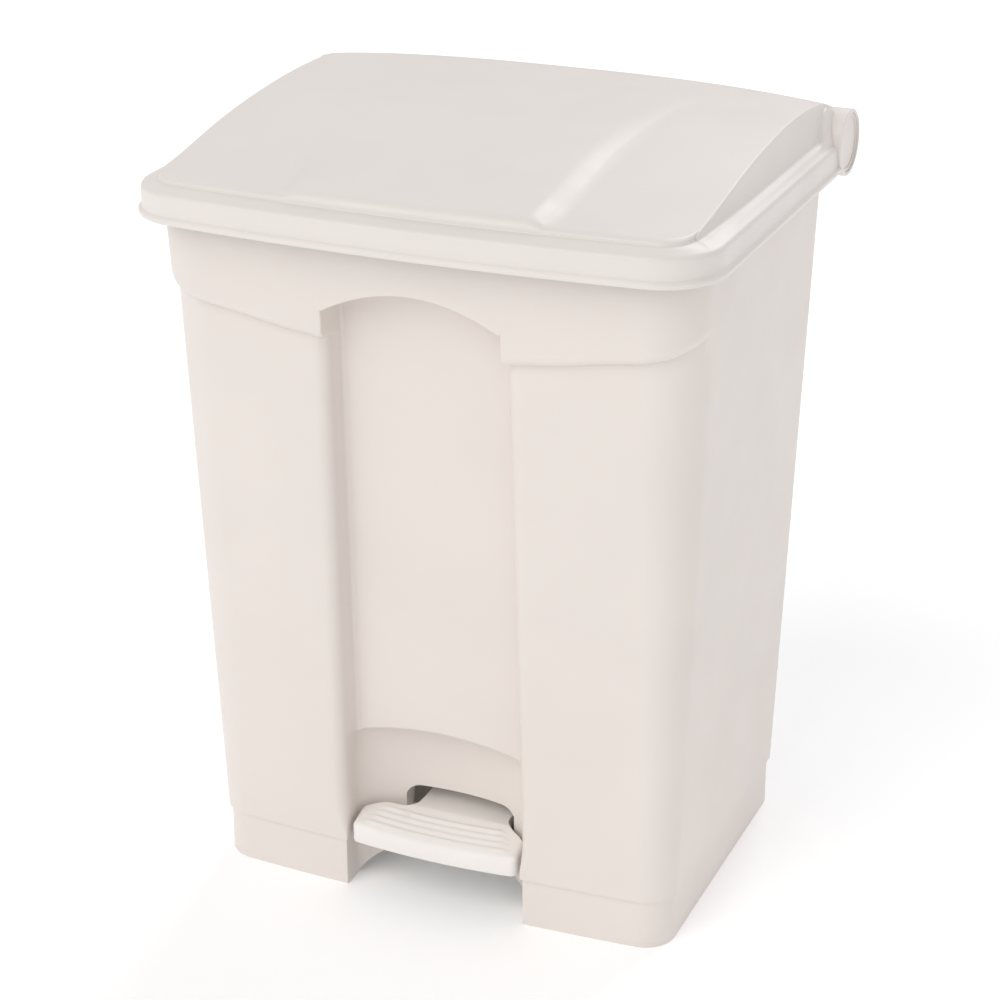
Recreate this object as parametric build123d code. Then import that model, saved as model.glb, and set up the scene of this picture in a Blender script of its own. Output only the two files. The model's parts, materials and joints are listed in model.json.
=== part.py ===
from build123d import *
import math
import os

# Pedal bin with a moulded body, a crowned lid that swings on a rear hinge roll, and a front pedal.
# Millimetres. +Z is up, the front faces -Y, the floor is z = 0, and the origin is under the middle of the bin.

# ---- body ----
WALL = 3.2                     # thickness of every body wall
PLINTH_TOP = 46.0              # height of the set-in plinth
PLINTH_WIDTH = 423.5
PLINTH_FRONT = -140.6
PLINTH_BACK = 143.4
PLINTH_RADIUS = 28.0
BODY_TOP = 626.0               # upper edge of the body
LOW_WIDTH = 428.4              # body just above the plinth
LOW_FRONT = -143.1
LOW_BACK = 146.0
LOW_RADIUS = 30.0
TOP_WIDTH = 470.8              # body at BODY_TOP
TOP_FRONT = -165.0
TOP_BACK = 151.2
TOP_RADIUS = 44.0
BOW = 6.3                      # how far the front faces bow forward in plan
REAR_RADIUS = 8.0
FLOOR_TOP = 95.2               # inside floor of the bin
COLLAR_STEP = 8.0              # how far the collar stands in front of the pillars
COLLAR_RADIUS = 30.0
COLLAR_LOW = 528.0             # lowest point of the collar's edge, in the middle
COLLAR_SIDE = 572.0            # where the collar's edge reaches the side walls

# ---- inset panel, pedal recess and slot in the body's front ----
PILLAR_GAP = 82.0              # half the width between the two front pillars, at the pedal
ARCH_HALF = 76.5               # half the width of the panel where the arch springs
ARCH_SPRING = 552.0
ARCH_TOP = 573.0
PANEL_LOW_Y = -129.0           # the panel's face at RECESS_TOP and at ARCH_TOP
PANEL_HIGH_Y = -147.0
RECESS_TOP = 166.0
RECESS_SIDE = 153.0
RECESS_DEPTH = 32.0            # from the scoop's mouth to its deepest line
RECESS_MOUTH = -132.0
SLOT_LEFT = -44.0
SLOT_RIGHT = 61.0
SLOT_TOP = 89.0
SLOT_RADIUS = 14.0

# ---- lid ----
LID_WALL = 3.0
RIM_LOW = 608.2                # lower edge of the lid
BEAD_HEIGHT = 6.0
LID_WIDTH = 500.0
LID_FRONT = -195.2
LID_BOW = 9.4
LID_RADIUS = 54.0
BEAD = 2.7                     # how far the bead stands out from the skirt
SHOULDER = 633.5               # top of the skirt
SHOULDER_RADIUS = 5.0
# the crowned top, as stations from front to back: y, half width, height of the side edge, extra height in the middle
DOME = [
    (-184.0, 214.0, 637.0, 0.8),
    (-150.0, 227.0, 641.0, 3.0),
    (-90.0, 232.0, 648.0, 5.0),
    (-30.0, 235.0, 655.8, 5.6),
    (40.0, 234.5, 663.0, 6.0),
    (105.0, 229.5, 668.0, 6.0),
    (162.0, 221.5, 669.0, 6.0),
]
DOME_BASE = 622.0

# ---- hinge ----
HINGE_Y = 176.1
HINGE_Z = 629.0
ROLL_RADIUS = 28.5
ROLL_HALF = 250.0              # the roll's ends
ROLL_WEB = 246.0               # outer face of the web that closes each end
HINGE_ROD_RADIUS = 4.0
RUNNING = 0.1                  # radial clearance of a turning fit
ROLL_CLEARANCE = 2.0
BRACKET_X = 200.0
BRACKET_HALF = 11.0
BRACKET_PLATE = 4.0
LID_OPEN = 80.0                # degrees

# ---- lift rods and lid levers ----
ROD_RADIUS = 2.5
ROD_X = 158.0
ROD_OFFSET = 15.0              # the rod runs this far in front of the hinge line
LEVER_X = 150.0
LEVER_HALF = 3.0
ROD_BEND = 7.0
HOOK_END = 142.0               # where the bent ends of the rods stop
SLOT_SLACK = 1.6               # play of the rod in the lever's slot
EYE_WALL = 1.7                 # material round the slot's end
SNUG = 0.12                    # radial gap of a part keyed into the roll

# ---- pedal ----
PIVOT_Y = 5.0
PIVOT_Z = 60.0
AXLE_RADIUS = 4.0
AXLE_HALF = 176.0
ARM_X = 150.0
ARM_HALF = 2.0
ARM_HEIGHT = 14.0
BEARING_X = 163.0
BEARING_HALF = 6.0
TREAD_HALF = 78.0
TREAD_FRONT = -147.0
TREAD_BOW = 5.0
TREAD_BACK = -113.0
TREAD_GAP = 4.0                # clearance to the recess wall
NECK_LEFT = -34.0
NECK_RIGHT = 54.0
NECK_BACK = -62.0
LIP_LOW = 46.0
FRAME_TOP = 61.0
SHEET = 3.0

ROD_Y = HINGE_Y - ROD_OFFSET
HALF_LIFT = ROD_OFFSET * math.tan(math.radians(LID_OPEN / 2))
ROD_LOW = PIVOT_Z - HALF_LIFT
ROD_HIGH = HINGE_Z - HALF_LIFT
FAR = 400.0                    # larger than the bin, for cutting tools

os.makedirs("parts", exist_ok=True)


def save(name, solids):
    """Write one node; several separate solids share a node as a compound."""
    shapes = solids if isinstance(solids, list) else [solids]
    node = shapes[0] if len(shapes) == 1 else Compound(children=shapes)
    export_step(node, f"parts/{name}.step")


def mix(low, high, t):
    return low + (high - low) * t


def rod_x(radius, x0, x1, y, z):
    """A round bar along X."""
    bar = Cylinder(radius, abs(x1 - x0), rotation=(0, 90, 0))
    return Pos((x0 + x1) / 2, y, z) * bar


def rod_y(radius, x, y0, y1, z):
    """A round bar along Y."""
    bar = Cylinder(radius, abs(y1 - y0), rotation=(90, 0, 0))
    return Pos(x, (y0 + y1) / 2, z) * bar


def rod_z(radius, x, y, z0, z1):
    """A round bar along Z."""
    return Pos(x, y, (z0 + z1) / 2) * Cylinder(radius, abs(z1 - z0))


def block(x0, x1, y0, y1, z0, z1):
    box = Box(abs(x1 - x0), abs(y1 - y0), abs(z1 - z0))
    return Pos((x0 + x1) / 2, (y0 + y1) / 2, (z0 + z1) / 2) * box


def outline(width, front, back, r_front, r_back, bow, z):
    """A rounded rectangle in plan whose front edge bows forward."""
    hx = width / 2
    k = math.sqrt(0.5)
    fl, fr = (-hx + r_front, front), (hx - r_front, front)
    sides = (hx, front + r_front), (hx, back - r_back)
    edges = [
        ThreePointArc(fl, (0, front - bow), fr),
        ThreePointArc(fr, (hx - r_front + r_front * k, front + r_front - r_front * k), sides[0]),
        Line(sides[0], sides[1]),
        ThreePointArc(sides[1], (hx - r_back + r_back * k, back - r_back + r_back * k), (hx - r_back, back)),
        Line((hx - r_back, back), (-hx + r_back, back)),
        ThreePointArc((-hx + r_back, back), (-hx + r_back - r_back * k, back - r_back + r_back * k),
                      (-hx, back - r_back)),
        Line((-hx, back - r_back), (-hx, front + r_front)),
        ThreePointArc((-hx, front + r_front), (-hx + r_front - r_front * k, front + r_front - r_front * k), fl),
    ]
    return Pos(0, 0, z) * make_face(edges)


def section(z, inset=0.0, step=0.0, radius=None):
    """The body's plan at height z, shrunk by inset; step pushes the front face forward."""
    t = (z - PLINTH_TOP) / (BODY_TOP - PLINTH_TOP)
    r = radius if radius else mix(LOW_RADIUS, TOP_RADIUS, t)
    return outline(
        mix(LOW_WIDTH, TOP_WIDTH, t) - 2 * inset,
        mix(LOW_FRONT, TOP_FRONT, t) - step + inset,
        mix(LOW_BACK, TOP_BACK, t) - inset,
        r - inset, REAR_RADIUS - inset, BOW, z)


def taper(z0, z1, inset=0.0, step=0.0, radius=None):
    return loft([section(z0, inset, step, radius), section(z1, inset, step, radius)], ruled=True)


def back_face(z, inset=0.0):
    """y of the body's back wall at height z."""
    return mix(LOW_BACK, TOP_BACK, (z - PLINTH_TOP) / (BODY_TOP - PLINTH_TOP)) - inset


def xz_prism(face_xz, y0, y1):
    """Extrude a sketch drawn as (x, z) from y0 to y1."""
    return extrude(Plane.XZ.offset(-y0) * face_xz, -(y1 - y0))


def yz_prism(points, x0, x1):
    """Extrude a polygon drawn as (y, z) from x0 to x1."""
    return extrude(Plane.YZ.offset(x0) * make_face(Polyline(*points, close=True)), x1 - x0)


def inset_tool(grow=0.0):
    """The space in front of the arched panel; grow widens it for the inside of the wall."""
    half = PILLAR_GAP + grow
    top = ARCH_HALF + grow
    low = RECESS_SIDE - 30
    arch = make_face([
        Line((-half, low), (half, low)),
        Line((half, low), (top, ARCH_SPRING)),
        ThreePointArc((top, ARCH_SPRING), (0, ARCH_TOP + grow), (-top, ARCH_SPRING)),
        Line((-top, ARCH_SPRING), (-half, low)),
    ])
    slope = (PANEL_HIGH_Y - PANEL_LOW_Y) / (ARCH_TOP - RECESS_TOP)
    y_low = PANEL_LOW_Y + slope * (low - RECESS_TOP) + grow
    y_high = PANEL_HIGH_Y + slope * 40 + grow
    wedge = yz_prism([(-FAR, low), (y_low, low), (y_high, ARCH_TOP + 40), (-FAR, ARCH_TOP + 40)], -half, half)
    return xz_prism(arch, -FAR, 0) & wedge


def mouth_plan(half, depth):
    """The scoop's plan: open to the front, with half an ellipse at the back."""
    return Pos(0, RECESS_MOUTH - FAR / 2) * Rectangle(2 * half, FAR) + Pos(0, RECESS_MOUTH) * Ellipse(half, depth)


def recess_tool(grow=0.0):
    """The scooped space above and around the pedal, open to the floor; half an ellipse in plan."""
    half = PILLAR_GAP + grow
    plan = mouth_plan(half, RECESS_DEPTH + grow)
    column = extrude(Pos(0, 0, -1) * plan, RECESS_TOP + 20)
    roof = make_face([
        Line((-half, -1), (half, -1)),
        Line((half, -1), (half, RECESS_SIDE + grow)),
        ThreePointArc((half, RECESS_SIDE + grow), (0, RECESS_TOP + grow), (-half, RECESS_SIDE + grow)),
        Line((-half, RECESS_SIDE + grow), (-half, -1)),
    ])
    return column & xz_prism(roof, -FAR, 0)


def collar(inset=0.0):
    """The band round the top of the front; its lower edge is arched and rises at the corners."""
    low = COLLAR_LOW - 20
    band = taper(low, BODY_TOP, inset + 0.2, COLLAR_STEP, COLLAR_RADIUS)
    side = TOP_WIDTH / 2 + 10
    edge = make_face([
        Line((-side, low - 10), (side, low - 10)),
        Line((side, low - 10), (side, COLLAR_SIDE + 8)),
        Spline((side, COLLAR_SIDE + 8), (212, COLLAR_LOW + 24), (120, COLLAR_LOW + 6.5), (0, COLLAR_LOW),
               (-120, COLLAR_LOW + 6.5), (-212, COLLAR_LOW + 24), (-side, COLLAR_SIDE + 8)),
        Line((-side, COLLAR_SIDE + 8), (-side, low - 10)),
    ])
    return band - xz_prism(edge, -FAR, FAR)


def slot_tool():
    """The pedal's way through the recess wall: a rounded slot over a wide arch."""
    slot = Pos((SLOT_LEFT + SLOT_RIGHT) / 2, 0) * Rectangle(SLOT_RIGHT - SLOT_LEFT, 2 * SLOT_TOP)
    slot = fillet(slot.vertices(), SLOT_RADIUS)
    arch = Ellipse(PILLAR_GAP - 1, 44)
    return xz_prism(slot + arch, RECESS_MOUTH + 4, -60)


def make_body():
    plinth = extrude(
        outline(PLINTH_WIDTH, PLINTH_FRONT, PLINTH_BACK, PLINTH_RADIUS, REAR_RADIUS, BOW, 0), PLINTH_TOP)
    outer = plinth + taper(PLINTH_TOP, BODY_TOP) + collar()
    outer = outer - inset_tool() - recess_tool()
    bin_space = taper(FLOOR_TOP, BODY_TOP + 0.01, WALL) + collar(WALL)
    bin_space = bin_space - inset_tool(WALL) - recess_tool(WALL)
    under = extrude(
        outline(PLINTH_WIDTH - 2 * WALL, PLINTH_FRONT + WALL, PLINTH_BACK - WALL,
                PLINTH_RADIUS - WALL, REAR_RADIUS - WALL, BOW, -1), FLOOR_TOP - WALL + 1)
    under = under - recess_tool(WALL)
    shell = outer - bin_space - under - slot_tool()
    # the rim at the back is hollowed to clear the turning hinge roll
    shell = shell - rod_x(ROLL_RADIUS + ROLL_CLEARANCE, -FAR, FAR, HINGE_Y, HINGE_Z)
    for side in (-1, 1):
        # lever slots through the back wall
        shell = shell - block(side * ARM_X - 7, side * ARM_X + 7, 120, 170, 32, 88)
        # pads under the floor for the bearing screws
        pad_x = side * BEARING_X
        shell = shell + block(pad_x - 14, pad_x + 14, PIVOT_Y - 24, PIVOT_Y + 24, 84, FLOOR_TOP - WALL / 2)
    for x, y in bearing_screw_places():
        shell = shell - rod_z(1.8, x, y, 80, 90.5)
    return shell - [rod_y(2.0, x, 140, 158, z) for x, z in hinge_screw_places() + guide_screw_places()]


# ---- lid ----

def dome(drop=0.0, narrow=0.0, back=0.0):
    """The crowned top, lofted through cross-sections from front to back."""
    faces = []
    for y, half, edge, crown in DOME:
        w = half - narrow
        z = edge - drop
        shift = narrow if y == DOME[0][0] else -back if y == DOME[-1][0] else 0.0
        face = make_face([
            Line((-w, DOME_BASE), (w, DOME_BASE)),
            Line((w, DOME_BASE), (w, z)),
            ThreePointArc((w, z), (0, z + crown), (-w, z)),
            Line((-w, z), (-w, DOME_BASE)),
        ])
        faces.append(Plane.XZ.offset(-(y + shift)) * face)
    return loft(faces)


def lid_plan(inset, z):
    return outline(LID_WIDTH - 2 * inset, LID_FRONT + inset, HINGE_Y, LID_RADIUS - inset, 0.5, LID_BOW, z)


def make_lid():
    bead = loft([lid_plan(0, RIM_LOW), lid_plan(0, RIM_LOW + BEAD_HEIGHT - 2)], ruled=True)
    bead = bead + loft([lid_plan(0, RIM_LOW + BEAD_HEIGHT - 2), lid_plan(BEAD, RIM_LOW + BEAD_HEIGHT)], ruled=True)
    levels = [(0, RIM_LOW)]
    for i in range(4):
        turn = math.radians(30 * i)
        levels.append((SHOULDER_RADIUS * (1 - math.cos(turn)), SHOULDER - SHOULDER_RADIUS * (1 - math.sin(turn))))
    skirt = loft([lid_plan(BEAD + inset, z) for inset, z in levels], ruled=True)
    roll = rod_x(ROLL_RADIUS, -ROLL_HALF, ROLL_HALF, HINGE_Y, HINGE_Z)
    outer = skirt + bead + dome() + roll
    rim_space = extrude(lid_plan(BEAD + LID_WALL, RIM_LOW - 40), SHOULDER - LID_WALL - RIM_LOW + 40)
    web = ROLL_WEB - LID_WALL
    roll_space = rod_x(ROLL_RADIUS - LID_WALL, -web, web, HINGE_Y, HINGE_Z)
    lid = outer - rim_space - dome(LID_WALL, LID_WALL, LID_WALL) - roll_space
    # the roll ends short of the bottom, and each lift rod has a notch in it
    lid = lid - block(-web, web, HINGE_Y - 1, HINGE_Y + 6, HINGE_Z - 40, HINGE_Z - 10)
    for side in (-1, 1):
        lid = lid - block(side * ROD_X - 7, side * ROD_X + 7, HINGE_Y - 40, HINGE_Y + 24.5, HINGE_Z - 40, HINGE_Z - 10)
        outside = (side * ROLL_WEB, side * (ROLL_HALF + 1))
        lid = lid - rod_x(ROLL_RADIUS - LID_WALL, outside[0], outside[1], HINGE_Y, HINGE_Z)
        lid = lid - rod_x(6.0, side * (web - 8), side * (ROLL_WEB + 1), HINGE_Y, HINGE_Z)
    return lid


def make_hinge_bush(side):
    web = ROLL_WEB - LID_WALL
    bush = rod_x(5.95, side * (web - 0.5), side * ROLL_WEB, HINGE_Y, HINGE_Z)
    bush = bush + rod_x(9.0, side * (web - 2.5), side * (web - 0.05), HINGE_Y, HINGE_Z)
    bore = rod_x(HINGE_ROD_RADIUS + RUNNING, side * (web - 20), side * (ROLL_WEB + 5), HINGE_Y, HINGE_Z)
    return bush - bore


def make_end_cap(side):
    """A shallow dished plug in the recessed end of the hinge roll."""
    radius = ROLL_RADIUS - LID_WALL - SNUG
    cap = rod_x(radius, side * (ROLL_WEB + 0.05), side * (ROLL_WEB + 2.4), HINGE_Y, HINGE_Z)
    return cap - rod_x(radius - 3, side * (ROLL_WEB + 1.4), side * ROLL_HALF, HINGE_Y, HINGE_Z)


def make_lid_lever(side):
    """A plate keyed into the hinge roll, with a slotted arm in front that the lift rod pushes."""
    x0 = side * (LEVER_X - LEVER_HALF)
    x1 = side * (LEVER_X + LEVER_HALF)
    half_angle = math.radians(LID_OPEN / 2)
    inner = ROLL_RADIUS - LID_WALL - SNUG
    disc = rod_x(inner, x0, x1, HINGE_Y, HINGE_Z)
    rear = disc & block(-FAR, FAR, HINGE_Y + 3, HINGE_Y + 40, HINGE_Z - 16, HINGE_Z + 40)
    hub = rod_x(10.0, x0, x1, HINGE_Y, HINGE_Z)
    reach = ROD_OFFSET / math.cos(half_angle)
    tip_y = HINGE_Y - reach * math.cos(half_angle)
    tip_z = HINGE_Z - reach * math.sin(half_angle)
    near_y = HINGE_Y - ROD_OFFSET * math.cos(half_angle)
    near_z = HINGE_Z - ROD_OFFSET * math.sin(half_angle)
    eye = ROD_RADIUS + SLOT_SLACK
    arm = hull_x([(HINGE_Y, HINGE_Z, 9.0), (tip_y, tip_z, eye + EYE_WALL)], x0, x1)
    slot = hull_x([(near_y, near_z, eye), (tip_y, tip_z, eye)], x0 - side, x1 + side)
    lever = rear + hub + arm - slot
    return lever - rod_x(HINGE_ROD_RADIUS + 0.3, x0 - side, x1 + side, HINGE_Y, HINGE_Z)


def hull_x(circles, x0, x1):
    """Two round ends (y, z, radius) joined by straight flanks, as a plate from x0 to x1."""
    (ya, za, ra), (yb, zb, rb) = circles
    length = math.hypot(yb - ya, zb - za)
    uy, uz = (yb - ya) / length, (zb - za) / length
    ends = rod_x(ra, x0, x1, ya, za) + rod_x(rb, x0, x1, yb, zb)
    lean = (ra - rb) / length
    cross = math.sqrt(1 - lean * lean)
    points = []
    for sign, order in ((1, ((ya, za, ra), (yb, zb, rb))), (-1, ((yb, zb, rb), (ya, za, ra)))):
        ny, nz = lean * uy - sign * cross * uz, lean * uz + sign * cross * uy
        points += [(y + r * ny, z + r * nz) for y, z, r in order]
    return ends + yz_prism(points, min(x0, x1), max(x0, x1))


def make_lid_bumpers():
    low = BODY_TOP + 0.1
    high = SHOULDER - LID_WALL
    places = [(-150, -174.0), (150, -174.0), (-233.5, 0), (233.5, 0)]
    pads = []
    for x, y in places:
        along_x = abs(y) > 10
        dx, dy = (9, 4) if along_x else (4, 9)
        pads.append(block(x - dx, x + dx, y - dy, y + dy, low, high))
    return pads


# ---- hinge brackets on the body ----

def hinge_screw_places():
    return [(x, z) for x in (-BRACKET_X, 0.0, BRACKET_X) for z in (570.0, 588.0)]


def make_hinge_bracket(x):
    """A hooked bracket inside the back wall; it reaches over the rim to hold the hinge rod."""
    low, shoulder, high = 560.0, 634.0, 646.0
    inner = back_face(low, WALL)
    profile = [
        (inner - BRACKET_PLATE, low), (inner, low), (back_face(608.0, WALL), 608.0),
        (HINGE_Y - ROLL_RADIUS - ROLL_CLEARANCE - 0.5, 614.0), (HINGE_Y - ROLL_RADIUS - ROLL_CLEARANCE - 0.5, shoulder),
        (HINGE_Y, HINGE_Z - 4), (HINGE_Y, HINGE_Z + 6), (HINGE_Y - 20, high),
        (inner - BRACKET_PLATE - 4, high), (inner - BRACKET_PLATE - 4, 612.0), (inner - BRACKET_PLATE, 604.0),
    ]
    hook = yz_prism(profile, x - BRACKET_HALF, x + BRACKET_HALF)
    hook = hook + rod_x(9.0, x - BRACKET_HALF, x + BRACKET_HALF, HINGE_Y, HINGE_Z)
    hook = hook - rod_x(HINGE_ROD_RADIUS, x - FAR, x + FAR, HINGE_Y, HINGE_Z)
    for sx, z in hinge_screw_places():
        if sx == x:
            hook = hook - rod_y(2.0, x, 120, 160, z)
    return hook


def make_hinge_screws():
    screws = []
    for x, z in hinge_screw_places():
        face = back_face(z)
        head = rod_y(4.5, x, face + 0.05, face + 2.6, z)
        shank = rod_y(1.98, x, face - WALL - BRACKET_PLATE, face + 1, z)
        screws.append(head + shank)
    return screws


# ---- pedal gear ----

def bearing_screw_places():
    return [(side * BEARING_X, PIVOT_Y + dy) for side in (-1, 1) for dy in (-17.0, 17.0)]


def make_axle_bearing(side):
    x = side * BEARING_X
    post = block(x - BEARING_HALF, x + BEARING_HALF, PIVOT_Y - 11, PIVOT_Y + 11, PIVOT_Z, 84)
    post = post + rod_x(11.0, x - BEARING_HALF, x + BEARING_HALF, PIVOT_Y, PIVOT_Z)
    post = post + block(x - 9, x + 9, PIVOT_Y - 23, PIVOT_Y + 23, 80, 84)
    post = post - rod_x(AXLE_RADIUS + RUNNING, x - 20, x + 20, PIVOT_Y, PIVOT_Z)
    for sx, y in bearing_screw_places():
        if sx == x:
            post = post - rod_z(2.0, x, y, 70, 90)
    return post


def make_bearing_screws():
    screws = []
    for x, y in bearing_screw_places():
        screws.append(rod_z(3.6, x, y, 77.4, 79.95) + rod_z(1.78, x, y, 78, 90))
    return screws


def make_pedal_axle():
    return rod_x(AXLE_RADIUS, -AXLE_HALF, AXLE_HALF, PIVOT_Y, PIVOT_Z)


def make_axle_clips():
    clips = []
    for side in (-1, 1):
        x = side * (BEARING_X + BEARING_HALF + 1.2)
        ring = rod_x(7.0, x - 0.6, x + 0.6, PIVOT_Y, PIVOT_Z)
        clips.append(ring - rod_x(AXLE_RADIUS, x - 5, x + 5, PIVOT_Y, PIVOT_Z))
    return clips


def make_lever_frame():
    """Two arms that run back to the lift rods, a cross plate, and a tongue under the tread."""
    low = FRAME_TOP - SHEET
    cross = block(-ARM_X - ARM_HALF, ARM_X + ARM_HALF, -88, -56, low, FRAME_TOP)
    tongue = block(NECK_LEFT + 4, NECK_RIGHT - 4, -136, -70, low, FRAME_TOP)
    frame = cross + tongue
    for side in (-1, 1):
        x0, x1 = side * (ARM_X - ARM_HALF), side * (ARM_X + ARM_HALF)
        r = ARM_HEIGHT / 2
        frame = frame + hull_x([(PIVOT_Y, PIVOT_Z, r + 2), (ROD_Y, ROD_LOW, r - 1)], x0, x1)
        frame = frame + hull_x([(PIVOT_Y, PIVOT_Z, r + 2), (-80, low + r - 1, r - 1)], x0, x1)
        frame = frame - rod_x(ROD_RADIUS + RUNNING, x0 - side, x1 + side, ROD_Y, ROD_LOW)
    frame = frame - rod_x(AXLE_RADIUS, -FAR, FAR, PIVOT_Y, PIVOT_Z)
    for x, y in tread_screw_places():
        frame = frame - rod_z(2.0, x, y, 40, 80)
    return frame


def tread_top(y):
    """Height of the tread's top: it rises from the front lip to the neck."""
    return mix(64.0, 75.0, (y - TREAD_FRONT) / (TREAD_BACK - TREAD_FRONT))


def tread_screw_places():
    return [(x, y) for x in (-22.0, 42.0) for y in (-126.0, -80.0)]


def make_tread():
    """A wide ribbed tread with a turned-down lip, and a narrower neck through the slot."""
    front = TREAD_FRONT
    half = TREAD_HALF
    wall_half = PILLAR_GAP - TREAD_GAP
    wings = make_face([
        ThreePointArc((-half, front), (0, front - TREAD_BOW), (half, front)),
        Line((half, front), (half, TREAD_BACK)),
        Line((half, TREAD_BACK), (-half, TREAD_BACK)),
        Line((-half, TREAD_BACK), (-half, front)),
    ])
    wings = wings & mouth_plan(wall_half, RECESS_DEPTH - TREAD_GAP)
    neck = Pos((NECK_LEFT + NECK_RIGHT) / 2, (TREAD_BACK + NECK_BACK) / 2 - 5) * Rectangle(
        NECK_RIGHT - NECK_LEFT, NECK_BACK - TREAD_BACK + 10)
    column = extrude(Pos(0, 0, LIP_LOW) * (wings + neck), 60)
    back = NECK_BACK + 1
    top = yz_prism([
        (front - 20, LIP_LOW - 1), (front - 20, tread_top(front - 4)), (TREAD_BACK, tread_top(TREAD_BACK)),
        (back, tread_top(TREAD_BACK) + 3), (back, LIP_LOW - 1)], -FAR, FAR)
    tread = column & top
    hollow = yz_prism([
        (front + SHEET, LIP_LOW - 1), (front + SHEET, FRAME_TOP), (back + 1, FRAME_TOP), (back + 1, LIP_LOW - 1)],
        -FAR, FAR)
    shrunk = make_face([
        ThreePointArc((-half + SHEET, front + SHEET), (0, front - TREAD_BOW + SHEET), (half - SHEET, front + SHEET)),
        Line((half - SHEET, front + SHEET), (half - SHEET, 0)),
        Line((half - SHEET, 0), (-half + SHEET, 0)),
        Line((-half + SHEET, 0), (-half + SHEET, front + SHEET)),
    ])
    tread = tread - (hollow & extrude(Pos(0, 0, LIP_LOW - 1) * shrunk, 40))
    tread = tread - block(-FAR, FAR, TREAD_BACK - 12, 0, LIP_LOW - 2, FRAME_TOP)
    for i in range(4):
        y = front + 4.5 + 6.5 * i
        rib = rod_x(1.6, -half + 10 + 3 * i, half - 10 - 3 * i, y, tread_top(y) - 0.3)
        tread = tread + rib
    for x, y in tread_screw_places():
        tread = tread - rod_z(1.7, x, y, 50, 68)
    return tread


def make_tread_screws():
    screws = []
    for x, y in tread_screw_places():
        low = FRAME_TOP - SHEET
        screws.append(rod_z(3.8, x, y, low - 2.4, low - 0.05) + rod_z(1.7, x, y, low - 1, 68))
    return screws


# ---- lift rods ----

def make_lift_rod(side):
    """A steel rod with both ends bent inwards through the lever eyes."""
    inner = side * HOOK_END
    outer = side * ROD_X
    path = FilletPolyline((inner, ROD_Y, ROD_LOW), (outer, ROD_Y, ROD_LOW), (outer, ROD_Y, ROD_HIGH),
                          (inner, ROD_Y, ROD_HIGH), radius=ROD_BEND)
    profile = Plane(origin=path @ 0, z_dir=path % 0) * Circle(ROD_RADIUS)
    return sweep(profile, path=path)


def make_rod_clips(side):
    """Push-on rings that keep the rod's bent ends in their eyes."""
    clips = []
    for z in (ROD_LOW, ROD_HIGH):
        x = side * (HOOK_END + 1.8)
        ring = rod_x(5.0, x - 0.8, x + 0.8, ROD_Y, z)
        clips.append(ring - rod_x(ROD_RADIUS, x - 5, x + 5, ROD_Y, z))
    return clips


def guide_screw_places():
    return [(side * ROD_X + dx, 330.0) for side in (-1, 1) for dx in (-13.0, 13.0)]


def make_rod_guide(side):
    """A saddle on the back wall that keeps the lift rod upright."""
    x = side * ROD_X
    z0, z1 = 318.0, 342.0
    y0, y1 = back_face(z0), back_face(z1)
    hump = yz_prism([(y0, z0), (y1, z1), (ROD_Y + 6, z1), (ROD_Y + 6, z0)], x - 7, x + 7)
    flange = yz_prism([(y0, z0), (y1, z1), (y1 + 3, z1), (y0 + 3, z0)], x - 19, x + 19)
    guide = hump + flange - rod_z(ROD_RADIUS + 0.8, x, ROD_Y, z0 - 5, z1 + 5)
    for sx, z in guide_screw_places():
        guide = guide - rod_y(1.8, sx, 130, 170, z)
    return guide


def make_guide_screws():
    screws = []
    for x, z in guide_screw_places():
        face = back_face(z)
        screws.append(rod_y(1.78, x, face - WALL, face + 4, z) + rod_y(3.6, x, face + 3.1, face + 5.4, z))
    return screws


save("body_shell", make_body())
save("lid_shell", make_lid())
save("lid_bumpers", make_lid_bumpers())
save("hinge_rod", rod_x(HINGE_ROD_RADIUS, -(ROLL_WEB - 0.5), ROLL_WEB - 0.5, HINGE_Y, HINGE_Z))
save("hinge_screws", make_hinge_screws())
save("pedal_tread", make_tread())
save("pedal_lever_frame", make_lever_frame())
save("pedal_axle", make_pedal_axle())
save("axle_clips", make_axle_clips())
save("bearing_screws", make_bearing_screws())
save("tread_screws", make_tread_screws())
save("guide_screws", make_guide_screws())
for name, x in (("left", -BRACKET_X), ("centre", 0.0), ("right", BRACKET_X)):
    save(f"hinge_bracket_{name}", make_hinge_bracket(x))
for name, side in (("left", -1), ("right", 1)):
    save(f"hinge_bush_{name}", make_hinge_bush(side))
    save(f"hinge_end_cap_{name}", make_end_cap(side))
    save(f"lid_lever_{name}", make_lid_lever(side))
    save(f"axle_bearing_{name}", make_axle_bearing(side))
    save(f"lift_rod_{name}", make_lift_rod(side))
    save(f"rod_clips_{name}", make_rod_clips(side))
    save(f"rod_guide_{name}", make_rod_guide(side))
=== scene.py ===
import json
import math

import bmesh
import bpy
import numpy as np
from mathutils import Matrix, Vector


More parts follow.
